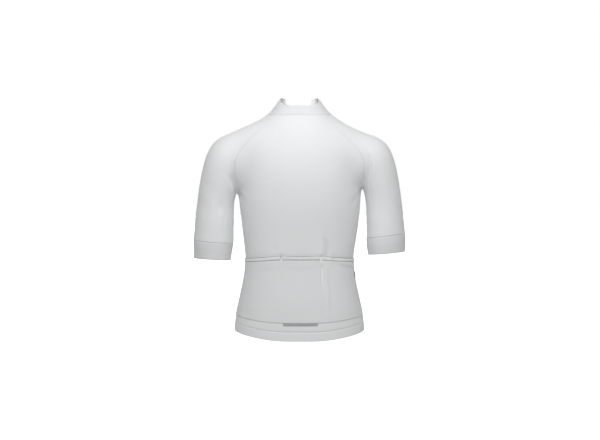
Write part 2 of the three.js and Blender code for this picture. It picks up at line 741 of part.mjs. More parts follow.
function add(name, geometry, kind) {
  const places = geometry.getAttribute("position");
  for (let i = 0; i < places.count; i += 1) {
    const p = uneven(new THREE.Vector3().fromBufferAttribute(places, i));
    places.setXYZ(i, p.x, p.y, p.z);
  }
  const mesh = new THREE.Mesh(geometry, MATERIALS[kind]);
  mesh.name = name;
  group.add(mesh);
}

function addPanel(name, { points, normals }, thickness, kind, wraps = false, first = SEAM_GAP / 2) {
  add(name, wall(trimmed(points, wraps, first), normals, -thickness, 0, wraps), kind);
}

addPanel("back_panel", back, CLOTH, "knit");
addPanel("front_right", front, CLOTH, "knit");
addPanel("front_left", flipGrid(front), CLOTH, "knit");
addPanel("collar", collar, BAND, "band");
addPanel("hem_band", hem, BAND, "band");

for (const { name, side, cuffEdge, cuffSlope } of SLEEVES) {
  const flip = (points) => (side < 0 ? points.map((row) => row.map(mirrored)) : points);
  const sleeve = withNormals(flip(sleevePoints(cuffEdge + CUFF_HEIGHT, cuffSlope)));
  const cuff = withNormals(flip(cuffPoints(cuffEdge, cuffSlope)));
  addPanel("sleeve_" + name, sleeve, CLOTH, "knit", true, SLEEVE_TRIM);
  addPanel("cuff_" + name, cuff, BAND, "band", true);
}

const topRow = POCKET_ROWS.high - POCKET_ROWS.low;
for (const { name, skin } of POCKETS) {
  const body = patch(skin, [0, topRow - POCKET_ELASTIC], [0, POCKET_COLUMNS]);
  const elastic = patch(skin, [topRow - POCKET_ELASTIC, topRow], [0, POCKET_COLUMNS]);
  addPanel("pocket_" + name, body, CLOTH, "knit");
  const edge = wall(trimmed(elastic.points), elastic.normals, ELASTIC.low, ELASTIC.high);
  add("pocket_edge_" + name, edge, "band");
}

function addOverlay(name, panel, { rows, columns, thickness }, kind) {
  const { points, normals } = patch(panel, rows, columns);
  add(name, wall(points, normals, OVERLAY_GAP, OVERLAY_GAP + thickness), kind);
}
addOverlay("reflective_strip", back, STRIP, "reflective");
addOverlay("side_tab", POCKETS[2].skin, SIDE_TAB, "label");

for (const [side, flip] of [["right", (grid) => grid], ["left", flipGrid]]) {
  const [tapeSide, coilSide] = [flip(tape), flip(coil)];
  add("zip_tape_" + side, wall(tapeSide.points, tapeSide.normals, TAPE.low, TAPE.high), "tape");
  add("zip_coil_" + side, wall(coilSide.points, coilSide.normals, COIL.low, COIL.high), "coil");
}

const slider = zipFrame(ZIP_OPEN_FROM, ZIP_OPEN_FROM + SLIDER.to);
add("zip_slider", geometryOf(sliderSolid()).applyMatrix4(slider), "metal");
add("zip_pull", geometryOf(pullSolid()).applyMatrix4(slider), "metal");
const foot = tape.points[0][0].z;
const box = plate(rectangle(-BOX.halfWidth, BOX.halfWidth, BOX.from, BOX.height), BOX.low, BOX.high);
add("zip_box", geometryOf(box).applyMatrix4(zipFrame(foot, foot + BOX.height)), "coil");

export default group;
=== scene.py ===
"""A short-sleeved cycling jersey, filled out as it is worn with no wearer in it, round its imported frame.

Metres, in the part's frame: +Z up, +Y towards the wearer's front, the origin in the middle of the neck.
The outer sides of the CAD cloth walls are read back as grids of quads, joined at the seams into one smooth
surface, creased, and cut along the same seams into thin pieces. There is one for each CAD node, but the
three pockets are one piece, and so is their elastic.
"""
import math

import bpy
import numpy as np
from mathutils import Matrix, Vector, noise
from mathutils.bvhtree import BVHTree
from mathutils.kdtree import KDTree


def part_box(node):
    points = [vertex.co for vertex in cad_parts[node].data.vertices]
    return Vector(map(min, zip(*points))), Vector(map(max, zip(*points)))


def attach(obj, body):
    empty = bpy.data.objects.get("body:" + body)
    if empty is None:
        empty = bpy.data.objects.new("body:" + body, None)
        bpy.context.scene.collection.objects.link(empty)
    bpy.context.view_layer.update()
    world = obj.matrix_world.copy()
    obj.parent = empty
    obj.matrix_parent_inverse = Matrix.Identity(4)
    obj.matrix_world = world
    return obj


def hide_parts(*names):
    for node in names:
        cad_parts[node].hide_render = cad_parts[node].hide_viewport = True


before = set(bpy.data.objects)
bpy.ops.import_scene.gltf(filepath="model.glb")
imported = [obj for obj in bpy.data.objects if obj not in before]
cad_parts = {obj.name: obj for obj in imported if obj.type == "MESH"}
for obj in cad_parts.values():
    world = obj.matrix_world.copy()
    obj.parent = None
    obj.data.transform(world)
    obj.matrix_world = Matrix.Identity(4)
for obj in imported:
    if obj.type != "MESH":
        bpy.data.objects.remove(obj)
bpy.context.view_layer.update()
MM = 0.001

# ---------------------------------------------------------------- sizes
RIM = 2.35 * MM  # a CAD edge shorter than this crosses the rim of a cloth wall
WELD = 1.3 * MM  # points of two pieces this close share a seam
SHELL_LEVELS = 3  # how often each CAD quad is halved for the fine surface
TAPE_LEVELS = 2  # the same for the zip's tapes
BODY = "jersey"

PANELS = ["back_panel", "front_left", "front_right", "sleeve_left", "sleeve_right", "cuff_left", "cuff_right",
          "collar", "hem_band"]
POCKETS = ["left", "centre", "right"]
BANDS = {"cuff_left", "cuff_right", "collar", "hem_band"}

# How thick the pieces are.
CLOTH = 0.8 * MM
BAND_CLOTH = 1.5 * MM
ELASTIC_CLOTH = 1.6 * MM
TAPE_CLOTH = 0.7 * MM
STRIP_FILM = 0.5 * MM
TAB_CLOTH = 1.0 * MM

# How the pockets lie on the back.
POCKET_SEWN = 34 * MM  # how far from its sewn edges the pockets reach their fullness
POCKET_FULLNESS = 0.35  # of the CAD pockets'
POCKET_LIFT = 1.0 * MM  # how far their cloth stands off the back along the sewn edges
CAD_POCKET_LIFT = 1.7 * MM  # the same for the CAD pockets
MOUTH_DROP = 2.6 * MM  # how far the elastic pulls the mouths down
MOUTH_REACH = 42 * MM  # how far below the mouths this fades out
MOUTH_TUCK = 3.2 * MM  # how deep the back sinks in along the mouths
MOUTH_WIDTH = 2.6 * MM  # how far to each side it does
MOUTH_RISE = 1.0 * MM  # how far above the elastic's edge it is deepest
ELASTIC_LIFT = 0.45 * MM  # how far the elastic stands off the pockets' cloth

# Threads, stitches and the zip's coil.
TACK_WIDTH = 1.8 * MM
TACK_THREAD = 0.42 * MM  # a radius, like the next one
MOUTH_THREAD = 0.62 * MM
THREAD_ENDS = 0.45  # about how much of its radius a mouth thread has at its ends
UPPER_RISE = 0.6 * MM  # how far above the elastic's edges the threads run
LOWER_RISE = -0.3 * MM
TACK_LIFT = 0.1 * MM  # how far a tack stands off the elastic
TACK_PASSES = 19
TACK_OVERRUN = 0.08  # how much of the seam's length a tack goes past its foot
STITCH_PITCH = 2.8 * MM  # from one stitch to the next
STITCH_HALF = 0.95 * MM  # half a stitch's length, half its width and half its height
STITCH_WIDE = 0.26 * MM
STITCH_HIGH = 0.2 * MM
COIL_PITCH = 1.5 * MM
COIL_WIRE = 0.38 * MM  # its radius
COIL_WIDE = 0.72 * MM  # half the coil's width and half its height
COIL_HIGH = 0.62 * MM
COIL_SIDES = 8  # points in a turn
COIL_GROUP = 2.5 * MM  # CAD points this close in height belong to one cross-section

STRIP_LIFT = 0.2 * MM
STRIP_COLUMN = 1.5 * MM  # CAD points this close in X belong to one column of the strip
STRIP_GRID = (7, 50)  # rows and columns of points
TAB_GRID = (9, 7)
TAB_TURN = 7 * MM  # how far round towards the back the tab reaches
TAB_LIFT = 0.2 * MM  # how far it stands off the cloth at its sewn end
TAB_CURL = 0.5 * MM  # how much more at its free end


# ---------------------------------------------------------------- the CAD walls as grids
def cad_mesh(node):
    """Points and triangles of a CAD node, with equal points joined."""
    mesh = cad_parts[node].data
    mesh.calc_loop_triangles()
    points = np.array([v.co for v in mesh.vertices])
    triangles = np.array([t.vertices for t in mesh.loop_triangles])
    keys = np.round(points / (0.01 * MM)).astype(np.int64)
    _, first, where = np.unique(keys, axis=0, return_index=True, return_inverse=True)
    triangles = where.reshape(-1)[triangles]
    good = [t for t in triangles if len(set(t)) == 3]
    return points[first], np.array(good)


def outer_sheet(node):
    """Points and triangles of a CAD cloth wall's outer side, the one that faces away from the Z axis."""
    points, triangles = cad_mesh(node)
    corners = points[triangles]
    sides = np.linalg.norm(corners - np.roll(corners, 1, axis=1), axis=2)
    triangles = triangles[sides.min(axis=1) > RIM]
    group = np.arange(len(points))
    while True:
        low = group[triangles].min(axis=1)
        changed = group.copy()
        for k in range(3):
            np.minimum.at(changed, triangles[:, k], low)
        if (changed == group).all():
            break
        group = changed
    corners = points[triangles]
    facing = np.cross(corners[:, 1] - corners[:, 0], corners[:, 2] - corners[:, 0])
    away = (facing * corners.mean(axis=1))[:, :2].sum(axis=1)
    labels = group[triangles[:, 0]]
    outer = max(sorted(set(labels.tolist())), key=lambda g: away[labels == g].sum())
    triangles = triangles[labels == outer]
    used, where = np.unique(triangles, return_inverse=True)
    return points[used], where.reshape(triangles.shape)


def edge_labels(triangles, turn):
    """For each triangle, how far its edges are turned from (row, column, diagonal), and which half of
    its quad it is. None if that can't be."""
    owner = {(t[k], t[(k + 1) % 3]): (n, k) for n, t in enumerate(triangles) for k in range(3)}
    turns = {0: (turn, 1)}
    queue = [0]
    for n in queue:
        t, (here, kind) = triangles[n], turns[n]
        for k in range(3):
            other = owner.get((t[(k + 1) % 3], t[k]))
            label = (k + here) % 3
            if other is None:
                if label == 2:
                    return None
                continue
            m, j = other
            there = (label - j) % 3
            if m not in turns:
                turns[m] = (there, -kind)
                queue.append(m)
            elif turns[m][0] != there:
                return None
    return turns, owner


def grid_of(points, triangles):
    """The quads of a regular grid of triangles. Its diagonals are the longest of the three kinds of edge."""
    triangles = [tuple(int(v) for v in t) for t in triangles]
    best = None
    for turn in range(3):
        found = edge_labels(triangles, turn)
        if found is None:
            continue
        turns, owner = found
        length = 0
        for n, t in enumerate(triangles):
            k = (2 - turns[n][0]) % 3
            length += np.linalg.norm(points[t[k]] - points[t[(k + 1) % 3]])
        if best is None or length > best[0]:
            best = (length, turns, owner)
    _, turns, owner = best
    quads = []
    for n, t in enumerate(triangles):
        if turns[n][1] < 0:
            continue
        k = (2 - turns[n][0]) % 3
        u, v, p = t[k], t[(k + 1) % 3], t[(k + 2) % 3]
        m, j = owner[(v, u)]
        q = triangles[m][(j + 2) % 3]
        quads.append((v, p, u, q))
    return np.array(quads)


# ---------------------------------------------------------------- one smooth surface
def tree_of(points):
    tree = KDTree(len(points))
    for i, p in enumerate(points):
        tree.insert(p, i)
    tree.balance()
    return tree


def joined(nodes):
    """The outer sides of CAD walls, welded at their seams: points, quads and a label for each quad."""
    all_points, all_quads, labels = [], [], []
    for n, node in enumerate(nodes):
        points, triangles = outer_sheet(node)
        quads = grid_of(points, triangles)
        all_quads.append(quads + sum(len(p) for p in all_points))
        all_points.append(points)
        labels += [n] * len(quads)
    points, quads = np.vstack(all_points), np.vstack(all_quads)
    tree = tree_of(points)
    group = np.arange(len(points))
    for i, p in enumerate(points):
        for _, j, _ in tree.find_range(p, WELD):
            low, high = sorted((group[i], group[j]))
            if low != high:
                group[group == high] = low
    used, where = np.unique(group, return_inverse=True)
    where = where.reshape(-1)
    welded = np.zeros((len(used), 3))
    np.add.at(welded, where, points)
    welded /= np.bincount(where)[:, None]
    return welded, where[quads], np.array(labels)


def new_mesh(name, points, faces):
    mesh = bpy.data.meshes.new(name)
    mesh.from_pydata([tuple(p) for p in points], [], [tuple(int(v) for v in f) for f in faces])
    mesh.update()
    return mesh


def linked(name, data):
    """A new object in the scene."""
    thing = bpy.data.objects.new(name, data)
    bpy.context.scene.collection.objects.link(thing)
    return thing


def modified(rough):
    """The mesh that an object's modifiers make. The object is taken out of the scene."""
    mesh = bpy.data.meshes.new_from_object(rough.evaluated_get(bpy.context.evaluated_depsgraph_get()))
    bpy.data.objects.remove(rough)
    return mesh


def subdivided(points, quads, labels, levels):
    """The same surface, smooth, each quad cut into 4 ** levels."""
    mesh = new_mesh("rough", points, quads)
    mesh.polygons.foreach_set("material_index", labels.astype(np.int32))
    for _ in range(int(labels.max()) + 1):
        mesh.materials.append(None)
    rough = linked("rough", mesh)
    modifier = rough.modifiers.new("smooth", "SUBSURF")
    modifier.levels = levels
    modifier.render_levels = levels
    done = modified(rough)
    fine = np.empty(len(done.vertices) * 3)
    done.vertices.foreach_get("co", fine)
    faces = np.empty(len(done.loops), dtype=np.int32)
    done.loops.foreach_get("vertex_index", faces)
    marks = np.empty(len(done.polygons), dtype=np.int32)
    done.polygons.foreach_get("material_index", marks)
    bpy.data.meshes.remove(done)
    bpy.data.meshes.remove(mesh)
    return fine.reshape(-1, 3), faces.reshape(-1, 4), marks


def normals_of(points, quads):
    a, b, c, d = (points[quads[:, k]] for k in range(4))
    face = np.cross(c - a, d - b)
    total = np.zeros_like(points)
    for k in range(4):
        np.add.at(total, quads[:, k], face)
    return total / np.maximum(np.linalg.norm(total, axis=1), 1e-12)[:, None]


class Surface:
    """A quad surface with a label for each quad, and what is worked out from it."""

    def __init__(self, nodes, levels):
        self.nodes = nodes
        self.points, self.quads, self.labels = subdivided(*joined(nodes), levels)
        self.refresh()

    def refresh(self):
        self.normals = normals_of(self.points, self.quads)
        self.tree = BVHTree.FromPolygons([Vector(p) for p in self.points], self.quads.tolist())
        self.corners = tree_of(self.points)

    def move(self, distances):
        """Moves each point along its normal."""
        self.points = self.points + self.normals * distances[:, None]
        self.refresh()

    def normal_at(self, place):
        return self.normals[self.corners.find(Vector(place))[1]]

    def nearest(self, place):
        """The surface's nearest point to a place, and its face's normal there."""
        found, normal, _, _ = self.tree.find_nearest(Vector(place))
        return np.array(found), np.array(normal)

    def seams(self):
        """{(label, label): [(point, point), ...]} of the edges between two pieces. Open edges are under
        (label, None)."""
        owner = {}
        for n, q in enumerate(self.quads.tolist()):
            for k in range(4):
                edge = (q[k], q[(k + 1) % 4])
                owner.setdefault((min(edge), max(edge)), []).append(int(self.labels[n]))
        found = {}
        for edge, marks in owner.items():
            if len(marks) == 1:
                found.setdefault((marks[0], None), []).append(edge)
            elif marks[0] != marks[1]:
                found.setdefault((min(marks), max(marks)), []).append(edge)
        return found

    def hit(self, x, z, front=False):
        """The surface's outermost point at an x and z, from the back or the front."""
        side = 1 if front else -1
        place = self.tree.ray_cast(Vector((x, side, z)), Vector((0, -side, 0)))[0]
        return np.array(place) if place else None


def lengths_along(line):
    """How far along a line each of its points lies."""
    steps = np.linalg.norm(np.diff(line, axis=0), axis=1)
    return np.concatenate([[0], np.cumsum(steps)])


def places_on(line, lengths, at):
    """The places at one or more distances along a line."""
    return np.stack([np.interp(at, lengths, line[:, k]) for k in range(3)], axis=-1)


def distance_to_line(points, line):
    """Each point's distance to a polyline, how far along it the nearest place is, from 0 to 1, and
    how far the point lies from that place along X."""
    before = lengths_along(line)
    best = np.full(len(points), np.inf)
    along, beside = np.zeros(len(points)), np.zeros(len(points))
    for k in range(len(line) - 1):
        a, ab = line[k], line[k + 1] - line[k]
        t = np.clip(((points - a) @ ab) / max(ab @ ab, 1e-12), 0, 1)
        d = np.linalg.norm(points - a - t[:, None] * ab, axis=1)
        nearer = d < best
        best[nearer] = d[nearer]
        along[nearer] = (before[k] + t[nearer] * (before[k + 1] - before[k])) / before[-1]
        beside[nearer] = (points - a - t[:, None] * ab)[nearer, 0]
    return best, along, beside


def polylines(edges):
    """Edges joined end to end into lists of point numbers."""
    beside = {}
    for a, b in edges:
        beside.setdefault(a, []).append(b)
        beside.setdefault(b, []).append(a)
    lines, left = [], set(beside)
    while left:
        ends = sorted(v for v in left if len(beside[v]) == 1) or sorted(left)
        line = [ends[0]]
        left.discard(ends[0])
        while True:
            following = [v for v in beside[line[-1]] if v in left]
            if not following:
                break
            line.append(following[0])
            left.discard(following[0])
        if len(line) > 2 and line[0] in beside[line[-1]]:
            line.append(line[0])
        lines.append(line)
    return lines


# ---------------------------------------------------------------- pieces
RIM_ROUNDING = 0.14  # of a cloth's thickness


def add_piece(name, mesh, material, body=BODY, replaced=()):
    piece = linked(name, mesh)
    mesh.materials.clear()
    mesh.materials.append(material)
    mesh.polygons.foreach_set("use_smooth", [True] * len(mesh.polygons))
    mesh.update()
    if replaced:
        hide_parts(*replaced)
    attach(piece, body)
    return piece


def shell(name, points, normals, quads, thickness, lift=0.0):
    """A closed thin piece: its outer side on the points, and its open edges rounded."""
    used, where = np.unique(quads, return_inverse=True)
    quads = where.reshape(quads.shape)
    outer, normal = points[used], normals[used]
    count = len(outer)
    edges = {}
    for q in quads.tolist():
        for k in range(4):
            a, b = q[k], q[(k + 1) % 4]
            if (b, a) in edges:
                del edges[(b, a)]
            else:
                edges[(a, b)] = True
    rim = sorted({a for a, _ in edges})
    away = np.zeros((count, 3))
    for a, b in edges:
        along = outer[b] - outer[a]
        side = np.cross(along, normal[a])
        away[a] += side / max(np.linalg.norm(side), 1e-12)
        away[b] += side / max(np.linalg.norm(side), 1e-12)
    size = np.maximum(np.linalg.norm(away, axis=1), 1e-12)[:, None]
    away = away / size
    top = outer + normal * lift
    bottom = top - normal * thickness
    top[rim] -= away[rim] * RIM_ROUNDING * thickness
    bottom[rim] -= away[rim] * RIM_ROUNDING * thickness
    middle = (top[rim] + bottom[rim]) / 2 + away[rim] * RIM_ROUNDING * thickness
    number = {v: 2 * count + k for k, v in enumerate(rim)}
    faces = [tuple(q) for q in quads.tolist()]
    faces += [tuple(count + v for v in reversed(q)) for q in quads.tolist()]
    for a, b in edges:
        faces.append((b, a, number[a], number[b]))
        faces.append((number[b], number[a], count + a, count + b))
    return new_mesh(name, np.vstack([top, bottom, middle]), faces)


# ---------------------------------------------------------------- materials
class Nodes:
    """A short way to write a material's nodes."""

    def __init__(self, name, roughness, metallic=0.0, sheen=0.0):
        self.material = bpy.data.materials.new(name)
        self.material.use_nodes = True
        self.tree = self.material.node_tree
        self.shader = self.tree.nodes["Principled BSDF"]
        self.shader.inputs["Roughness"].default_value = roughness
        self.shader.inputs["Metallic"].default_value = metallic
        self.shader.inputs["Sheen Weight"].default_value = sheen
        self.shader.inputs["Sheen Roughness"].default_value = 0.5
        self.place = self.add("ShaderNodeTexCoord").outputs["Object"]

    def add(self, kind, **inputs):
        node = self.tree.nodes.new(kind)
        for key, value in inputs.items():
            self.feed(node.inputs[key.replace("_", " ")], value)
        return node

    def feed(self, socket, value):
        if isinstance(value, bpy.types.NodeSocket):
            self.tree.links.new(value, socket)
        else:
            socket.default_value = value

    def noise(self, scale, detail=2.0):
        return self.add("ShaderNodeTexNoise", Vector=self.place, Scale=scale, Detail=detail).outputs["Fac"]

    def waves(self, pitch, direction, distortion=0.0):
        scale = math.pi / 10 / pitch
        node = self.add("ShaderNodeTexWave", Vector=self.place, Scale=scale, Distortion=distortion)
        node.bands_direction = direction
        return node.outputs["Fac"]

    def math(self, operation, a, b):
        node = self.tree.nodes.new("ShaderNodeMath")
        node.operation = operation
        self.feed(node.inputs[0], a)
        self.feed(node.inputs[1], b)
        return node.outputs[0]

    def ramp(self, value, low, high):
        node = self.add("ShaderNodeValToRGB", Fac=value)
        node.color_ramp.elements[0].position = 0.3
        node.color_ramp.elements[1].position = 0.7
        node.color_ramp.elements[0].color = (*low, 1)
        node.color_ramp.elements[1].color = (*high, 1)
        return node.outputs["Color"]

    def finish(self, colour, height=None, depth=0.1 * MM, roughness=None):
        self.feed(self.shader.inputs["Base Color"], colour)
        if height is not None:
            bump = self.add("ShaderNodeBump", Height=height, Distance=depth, Strength=1.0)
            self.feed(self.shader.inputs["Normal"], bump.outputs["Normal"])
        if roughness is not None:
            self.feed(self.shader.inputs["Roughness"], roughness)
        return self.material


COOL_WHITE = (0.992, 1.0, 1.008)


def shade(value):
    return tuple(value * part for part in COOL_WHITE)


def knit(name, value, pitch=1.1 * MM, depth=0.12 * MM):
    """Fine knitted jersey: rows of loops, with slow changes of tone."""
    n = Nodes(name, 0.78, sheen=0.15)
    rows = n.waves(pitch, "Z", 0.6)
    columns = n.waves(pitch * 0.8, "X", 0.6)
    loops = n.math("MULTIPLY", rows, columns)
    height = n.math("ADD", loops, n.noise(900, 2))
    tone = n.math("ADD", n.math("MULTIPLY", n.noise(9, 3), 0.7), n.math("MULTIPLY", n.noise(700, 2), 0.3))
    colour = n.ramp(tone, shade(value * 0.975), shade(value))
    return n.finish(colour, height, depth)


def ribbed(name, value, direction, pitch=1.6 * MM, depth=0.25 * MM):
    """Elastic band or rib knit, its ribs across one axis."""
    n = Nodes(name, 0.8, sheen=0.15)
    ribs = n.waves(pitch, direction, 0.4)
    height = n.math("ADD", ribs, n.math("MULTIPLY", n.noise(1200, 2), 0.4))
    tone = n.math("ADD", n.math("MULTIPLY", n.noise(14, 3), 0.7), n.math("MULTIPLY", ribs, 0.2))
    colour = n.ramp(tone, shade(value * 0.965), shade(value))
    return n.finish(colour, height, depth)


def reflective(name):
    """Grey film of tiny glass beads."""
    n = Nodes(name, 0.35)
    beads = n.add("ShaderNodeTexVoronoi", Vector=n.place, Scale=2600.0).outputs["Distance"]
    colour = n.ramp(n.noise(260, 3), (0.36, 0.365, 0.37), (0.42, 0.425, 0.43))
    roughness = n.math("ADD", n.math("MULTIPLY", n.noise(400, 2), 0.2), 0.5)
    return n.finish(colour, beads, 0.05 * MM, roughness)


def metal(name):
    n = Nodes(name, 0.32, metallic=1.0)
    colour = n.ramp(n.noise(300, 3), (0.55, 0.56, 0.58), (0.66, 0.67, 0.69))
    return n.finish(colour, n.noise(1500, 3), 0.02 * MM)


def nylon(name):
    n = Nodes(name, 0.4)
    colour = n.ramp(n.noise(500, 2), (0.72, 0.73, 0.74), (0.78, 0.79, 0.8))
    return n.finish(colour, n.noise(3000, 2), 0.02 * MM)


def thread(name, roughness, low, high):
    n = Nodes(name, roughness, sheen=0.2)
    return n.finish(n.ramp(n.noise(400, 2), low, high), n.noise(4000, 1), 0.03 * MM)


def woven_tab(name, pitch=0.5 * MM):
    n = Nodes(name, 0.75)
    weave = n.math("MULTIPLY", n.waves(pitch, "Z"), n.waves(pitch, "Y"))
    colour = n.ramp(n.noise(600, 2), (0.13, 0.12, 0.11), (0.19, 0.175, 0.16))
    return n.finish(colour, weave, 0.08 * MM)


MATERIALS = {
    "knit": knit("fine_knit", 0.83),
    "band": ribbed("rib_band", 0.81, "Z"),
    "elastic": ribbed("elastic_band", 0.92, "X", 1.3 * MM),
    "tape": ribbed("woven_zip_tape", 0.8, "Z", 0.7 * MM, 0.08 * MM),
    "reflective": reflective("reflective_film"),
    "metal": metal("cast_metal"),
    "coil": nylon("nylon_coil"),
    "thread": thread("sewing_thread", 0.6, (0.77, 0.775, 0.78), (0.84, 0.845, 0.85)),
    "label": woven_tab("woven_tab"),
    # the tack thread is dark grey as painted shadow, for the bar tacks and for the threads along the pockets'
    # mouths
    "tack": thread("tack_thread_painted_shadow", 0.7, (0.3, 0.305, 0.31), (0.38, 0.385, 0.39)),
    # the pockets' knit is the jersey's knit made a little darker: painted shade for cloth that faces slightly
    # down
    "pocket": knit("pocket_knit_painted_shade", 0.785),
    "hem": ribbed("hem_rib", 0.87, "Z"),
}

# ---------------------------------------------------------------- folds and seams
# Soft troughs: the side they are seen from, the line's x and z, the depth, half the width,
# how much of the depth stands up again as a ridge beside the trough, and how many times wider the trough
# is on its +X side, or on its -X side where that is negative. Millimetres. A trough fades out at both
# ends. A last number below 0.9 keeps its far end deep.
TROUGHS = [
    ("back", [(-190, -172), (-184, -190), (-176, -206), (-170, -222)], 6.0, 6.0, 0.0, 3.0, 0.7),
    ("back", [(191, -120), (192, -146), (191, -166), (187, -190), (180, -212)], 4.5, 3.0, 0.0, -1.5, 0.7),
    ("back", [(188, -120), (189, -146), (187, -166), (182, -190), (174, -212)], 3.0, 5.0, 0.0, -4.0, 0.7),
    ("back", [(-150, -246), (-160, -232), (-172, -222)], 1.6, 8.0, 0.5),
    ("back", [(140, -252), (156, -234), (170, -222)], 1.4, 9.0, 0.5),
    ("back", [(-213, -246), (-214, -262), (-212, -280)], 2.6, 3.0, 0.0, -3.0),
    ("back", [(-205, -280), (-207, -310), (-208, -345)], 0.8, 4.0, 0.8),
    ("back", [(74, -350), (77, -362), (79, -376), (78, -398)], 6.5, 3.8, 0.2, -2.6, 0.6),
    ("back", [(-66, -366), (-68, -376), (-66, -386)], 1.0, 6.0, 0.5),
    ("front", [(-196, -170), (-188, -190), (-180, -214)], 4.2, 6.0, 0.3),
    ("front", [(195, -166), (188, -188), (180, -212)], 4.6, 6.5, 0.3),
    ("front", [(-118, -196), (-142, -212), (-168, -222)], 1.8, 10.0, 0.5),
    ("front", [(124, -190), (146, -210), (169, -222)], 2.0, 9.0, 0.5),
    ("front", [(-104, -398), (-126, -406), (-144, -408)], 1.4, 10.0, 0.6),
    ("front", [(98, -420), (122, -418), (142, -412)], 1.2, 12.0, 0.6),
    ("front", [(-206, -262), (-214, -280), (-228, -290)], 1.3, 9.0, 0.6),
    ("front", [(206, -252), (216, -270), (232, -284)], 1.2, 10.0, 0.6),
]
# The same on the pockets.
POCKET_TROUGHS = [
    ("back", [(-90, -393), (-68, -387.5), (-51, -386.5)], -1.0, 3.0, 0.0),
    ("back", [(-43, -387), (-34, -390), (-22, -392)], -0.9, 3.0, 0.0),
    ("back", [(24, -392), (40, -389), (56, -387)], -0.9, 3.0, 0.0),
    ("back", [(65, -387), (76, -389.5), (92, -394.5)], -1.7, 2.8, 0.5),
    ("back", [(-49, -378), (-49, -390), (-49, -404)], 3.6, 3.0, 0.3),
    ("back", [(59, -378), (59, -390), (59, -404)], 3.6, 3.0, 0.3),
    ("back", [(61, -416), (61, -438), (62, -474)], 3.2, 2.8, 0.4, 1.5),
    ("back", [(72, -424), (75, -460), (78, -510), (80, -563)], -1.7, 4.5, 0.4),
    ("back", [(-48, -404), (-49, -440), (-50, -500)], 0.35, 3.5, 0.4),
    ("back", [(104, -406), (126, -413), (148, -424)], -1.3, 5.0, 0.5),
    ("back", [(-60, -412), (-84, -416), (-112, -414)], -0.6, 8.0, 0.5),
    ("back", [(-30, -412), (10, -416), (46, -411)], -0.6, 7.0, 0.4),
]
# How deep a seam pulls the cloth in, and how far to each side, by the pieces that it joins. Millimetres.
SEAM_DIPS = [
    ("back_panel", "sleeve_", 0.18, 2.2),
    ("front_", "sleeve_", 0.24, 2.2),
    ("back_panel", "front_", 0.4, 2.4),
    ("", "collar", 0.12, 2.4),
    ("sleeve_", "cuff_", 0.12, 2.4),
    ("", "hem_band", 0.75, 2.2),
    ("pocket_edge_", "pocket_", 1.5, 1.9),
    ("pocket_", "pocket_", 0.25, 2.0),
]
FACING = 0.35  # a trough leaves out cloth that looks the other way by more than this
REACH = 5  # how many widths from its line a trough can still be felt
FADED = 0.08  # how far into its fade a trough starts
RIDGE_PLACE = 2.1  # how many widths from the line the ridge stands
RIDGE_WIDTH = 0.9
UNDULATION = 0.55 * MM
SLACK = np.array([1.0, 1.0, 0.55])  # filled cloth is uneven over longer stretches up and down
COARSE, FINE = 14, 31  # how closely the two sizes of unevenness follow each other
PUCKER = np.array([520.0, 470.0, 560.0])  # how fast a seam's unevenness changes along each axis
PUCKER_SHARE = 0.35  # how much of a seam's depth changes with it


def curve_through(points, steps=12):
    """A Catmull-Rom curve through points."""
    points = np.array(points, dtype=float)
    padded = np.vstack([2 * points[0] - points[1], points, 2 * points[-1] - points[-2]])
    curve = []
    for k in range(1, len(padded) - 2):
        a, b, c, d = padded[k - 1:k + 3]
        for t in np.arange(steps) / steps:
            curve.append(0.5 * (2 * b + (c - a) * t + (2 * a - 5 * b + 4 * c - d) * t * t
                                + (3 * b - a - 3 * c + d) * t ** 3))
    curve.append(points[-1])
    return np.array(curve)


def trough_depths(surface, seen_from, line, depth, width, ridge, lean=1.0, run=0.9):
    """How far a trough moves each point of a surface along its normal. A negative depth makes a ridge."""
    front = seen_from == "front"
    places = [surface.hit(x * MM, z * MM, front) for x, z in curve_through(line)]
    places = np.array([p for p in places if p is not None])
    reach = REACH * width * max(abs(lean), 1) * MM
    inside = (surface.points > places.min(axis=0) - reach) & (surface.points < places.max(axis=0) + reach)
    facing = surface.normals[:, 1] * (1 if front else -1) > -FACING
    near = np.flatnonzero(inside.all(axis=1) & facing)
    away, along, beside = distance_to_line(surface.points[near], places)
    across = away / np.where(beside * lean > 0, width * abs(lean), width) / MM
    fade = np.sin(np.pi * np.clip(FADED + run * along, 0, 1)) ** 0.8
    raised = ridge * np.exp(-((across - RIDGE_PLACE) / RIDGE_WIDTH) ** 2)
    moved = np.zeros(len(surface.points))
    moved[near] = depth * MM * fade * (raised - np.exp(-across ** 2))
    return moved


def slow_noise(points, scale, seed):
    offset = Vector((seed * 7.1, seed * 3.7, seed * 5.3))
    return np.array([noise.noise(Vector(p) * scale + offset) for p in points])


def seam_kind(surface, pair, table):
    """The row of a seam table for the two pieces that a seam joins."""
    names = [surface.nodes[label] for label in pair]
    for row in table:
        for one, other in (names, names[::-1]):
            if one.startswith(row[0]) and other.startswith(row[1]):
                return row
    raise KeyError(names)


def sew(surface):
    """Pulls the cloth in along each seam, a little unevenly."""
    dips = np.zeros(len(surface.points))
    for pair, edges in surface.seams().items():
        if pair[1] is None:
            continue
        _, _, depth, width = seam_kind(surface, pair, SEAM_DIPS)
        for a, b in edges:
            middle = (surface.points[a] + surface.points[b]) / 2
            pucker = 1 + PUCKER_SHARE * math.sin(middle @ PUCKER)
            for _, i, away in surface.corners.find_range(middle, 3 * width * MM):
                dips[i] = min(dips[i], -depth * MM * pucker * math.exp(-(away / width / MM) ** 2))
    surface.move(dips)


def crease(surface, troughs):
    """Lays the troughs, the slow unevenness of filled cloth, and the seams."""
    moved = sum(trough_depths(surface, *trough) for trough in troughs)
    stretched = surface.points * SLACK
    moved += UNDULATION * (slow_noise(stretched, COARSE, 1) + 0.5 * slow_noise(stretched, FINE, 2))
    surface.move(moved)
    sew(surface)


